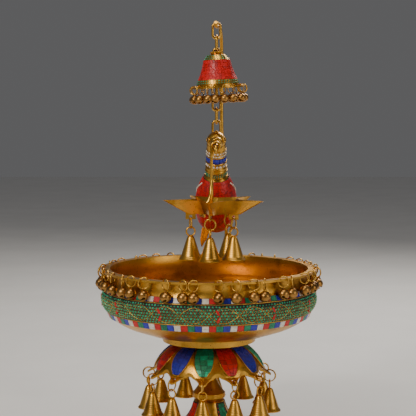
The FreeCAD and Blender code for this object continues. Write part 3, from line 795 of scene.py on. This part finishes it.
def make_bird_trim():
    trim = Builder()
    white, blue, green, wire = range(4)
    for height, radius, count, size, slot in ((74.0, 13.2, 20, 1.5, white), (69.8, 13.2, 20, 1.6, white),
                                              (54.0, 13.5, 17, 1.9, white), (38.4, 14.4, 30, 1.0, green),
                                              (40.6, 14.4, 30, 1.1, green), (42.8, 14.4, 30, 1.0, green)):
        for index in range(count):
            turn = math.tau * (index + 0.5 * (height > 70)) / count
            away = Vector((math.cos(turn), math.sin(turn), 0))
            place = on_bird((away * radius + UP * height) * MM)
            trim.add(*dome(place, BIRD_TURN @ away, size * MM, size * 0.7 * MM, 9), slot)
    blue_band = Line((13.2, 66.3), (13.2, 59.0))
    columns = 15
    for column in range(columns):
        corners = []
        for r, c in cell(0, column):
            corners.append(on_bird(spun(blue_band, math.tau * c / columns, r, 0.1)[0]))
        normal = BIRD_TURN @ spun(blue_band, math.tau * (column + 0.5) / columns, 0.5)[1]
        trim.add(*chip(list(reversed(corners)), normal, 0.08 * MM, 0.9 * MM), blue)
    for height, radius in ((76.4, 13.4), (72.0, 13.6), (57.9, 14.4), (50.4, 14.4), (44.3, 15.2),
                           (36.2, 15.6)):
        loop = [on_bird(Vector((radius * math.cos(a), radius * math.sin(a), height)) * MM)
                for a in (math.tau * i / 40 for i in range(40))]
        trim.add(*tube(loop, [0.6 * MM] * 40, 6, closed=True), wire)
    for side in (-1, 1):
        for index in range(34):
            part = index / 33
            share = 0.10 + 0.86 * part
            angle = FRONT + side * (1.18 + 0.55 * math.sin(part * math.pi) + 0.5 * part)
            place, normal = spun(FLANK, angle, share, 0.35)
            trim.add(*dome(on_bird(place), BIRD_TURN @ normal, 1.2 * MM, 1.3 * MM, 8), white)
    trim.build("bird_trim", [WHITE, BLUE, GREEN, WIRE], "bird", "white_beads", ["bird_neck_beads"])


def make_tail():
    """Five narrow feathers, overlapping like a half-closed fan, each with a raised mid-rib."""
    tail = Builder()
    low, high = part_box("bird_tail")
    tip = Vector((low.x + 5.2 * MM, high.y - 2.5 * MM, low.z + 1.5 * MM))
    root = Vector((low.x + 14.0 * MM, low.y - 8.0 * MM, high.z + 5.5 * MM))
    run = tip - root
    across = run.cross(UP).normalized()
    lift = across.cross(run).normalized()
    for index in range(5):
        spread = (index - 2) / 2
        reach = 1.0 - 0.17 * abs(spread) - (0.05 if spread > 0 else 0)
        verts = []
        stations = 12
        for station in range(stations):
            part = station / (stations - 1)
            centre = root + run * (part * reach) + across * (spread * (3.6 - 1.2 * part) * MM)
            centre += lift * ((1.4 - 1.1 * abs(spread)) * MM)
            half = (2.8 - 0.3 * part) * math.sqrt(max(0.02, 1 - part ** 9)) * MM
            for side, height in ((-1, 0.0), (-0.5, 0.55), (-0.12, 0.75), (0, 1.15), (0.12, 0.75),
                                 (0.5, 0.55), (1, 0.0), (0.5, -0.5), (-0.5, -0.5)):
                verts.append(centre + across * (side * half) + lift * (height * MM))
        faces = grid_faces(stations, 9, True)
        faces += [tuple(reversed(range(9))), tuple(range((stations - 1) * 9, stations * 9))]
        tail.add(verts, faces)
    tail.build("bird_tail_feathers", [AGED], "bird", "brass", ["bird_tail"], smooth=False)


# ---- Lamp and the conical bells' rings ----
def make_bell_rings():
    """Drawn wire rings, worn thinner where the bell's loop rides on them."""
    lotus = Builder()
    lamp = Builder()
    for joint_name in JOINTS:
        if "_bell_" not in joint_name:
            continue
        on_lamp = joint_name.startswith("lamp")
        bend = (7.55 if on_lamp else 8.2) * MM
        foot = pivot(joint_name)
        centre = foot + UP * bend
        across = Vector(JOINTS[joint_name]["axis"]).normalized()
        path = []
        sizes = []
        for step in range(36):
            turn = math.tau * step / 36
            path.append(centre + (across * math.sin(turn) - UP * math.cos(turn)) * bend)
            sizes.append((0.75 + 0.36 * min(1.0, max(0.0, (1 - math.cos(turn)) * 2.2 - 0.5))) * MM)
        (lamp if on_lamp else lotus).add(*tube(path, sizes, 8, closed=True))
    lotus.build("lotus_wire_rings", [WIRE], "stand", "bright_brass", ["lotus_bell_rings"])
    lamp.build("lamp_wire_rings", [WIRE], "lamp", "bright_brass", ["lamp_bell_rings"])


def make_lamp_foot():
    """The rod's cast foot, spreading to the left over the dish's floor."""
    foot = Builder()
    path = [BEAK + Vector(p) * MM for p in ((-5.4, 0, -46), (-6.2, 0, -66), (-8.6, 0, -75), (-13.5, 0, -80),
                                            (-20.0, 0, -82.5), (-26.0, 0.6, -83.5))]
    foot.add(*tube(path, [s * MM for s in (2.2, 3.3, 4.4, 4.6, 3.8, 1.6)], 16))
    foot.build("lamp_rod_foot", [AGED], "lamp", "brass")


# ---- Everything else keeps its CAD shape ----
def finish_cad_nodes():
    for name in frame["nodes"]:
        if name.startswith("tie_") or name == "arm_set_screw":
            assign(name, STEEL)
        elif name.startswith("link_") or name.endswith("_bell_rings"):
            assign(name, WIRE)
        elif "_bell_" in name:
            assign(name, BELL)
        elif name.startswith(("hanger_arm", "arm_socket", "lamp_", "spool_", "lotus_hub")):
            assign(name, AGED)


# ---- Stage ----
def make_stage():
    material, tree, shader = new_material("pale_floor")
    where = coordinates(tree)
    grain = node(tree, "ShaderNodeTexNoise", Scale=6.0, Detail=4.0)
    tree.links.new(where, grain.inputs["Vector"])
    colour = ramp(tree, grain.outputs["Fac"], [(0.3, (0.82, 0.81, 0.79)), (0.7, (0.87, 0.86, 0.84))])
    tree.links.new(colour.outputs["Color"], shader.inputs["Base Color"])
    shader.inputs["Roughness"].default_value = 0.7
    mesh = bpy.data.meshes.new("floor")
    far = 6.0
    mesh.from_pydata([(-far, -far, 0), (far, -far, 0), (far, far, 0), (-far, far, 0)], [], [(0, 1, 2, 3)])
    mesh.materials.append(material)
    floor = bpy.data.objects.new("floor", mesh)
    bpy.context.scene.collection.objects.link(floor)
    world = bpy.data.worlds.new("studio")
    bpy.context.scene.world = world
    world.use_nodes = True
    background = world.node_tree.nodes["Background"]
    background.inputs["Color"].default_value = (0.80, 0.80, 0.82, 1)
    background.inputs["Strength"].default_value = 0.14
    centre = Vector((0, 0, 0.32))
    for name, place, size, power in (("key", (-1.2, -1.7, 1.7), 0.7, 31), ("fill", (1.7, -1.2, 0.8), 1.0, 9),
                                     ("back", (0.6, 1.5, 1.5), 0.8, 22), ("top", (0, -0.2, 2.2), 0.8, 12)):
        light = bpy.data.lights.new(name, "AREA")
        light.size = size
        light.energy = power
        light.color = (1.0, 0.95, 0.88)
        lamp = bpy.data.objects.new(name, light)
        lamp.location = place
        lamp.rotation_mode = "QUATERNION"
        lamp.rotation_quaternion = (centre - Vector(place)).to_track_quat("-Z", "Y")
        bpy.context.scene.collection.objects.link(lamp)


def make_camera():
    """In front, a little above the bowl, looking slightly down."""
    data = bpy.data.cameras.new("camera")
    data.sensor_width = 36
    data.lens = 111.6
    camera = bpy.data.objects.new("camera", data)
    camera.location = (-0.0014, -1.8, RIM + 0.244)
    camera.rotation_euler = (math.radians(90 - 5.09), 0, 0)
    bpy.context.scene.collection.objects.link(camera)
    bpy.context.scene.camera = camera


make_tile_row("upper_tiles", "bowl_tiles_upper", UPPER_ROW)
make_tile_row("lower_tiles", "bowl_tiles_lower", LOWER_ROW)
make_belly()
make_rim()
make_petals()
make_base()
make_canopy()
make_bird_shell()
make_bird_stones()
make_bird_trim()
make_tail()
make_bell_rings()
make_lamp_foot()
finish_cad_nodes()
make_stage()
make_camera()

bpy.context.view_layer.update()
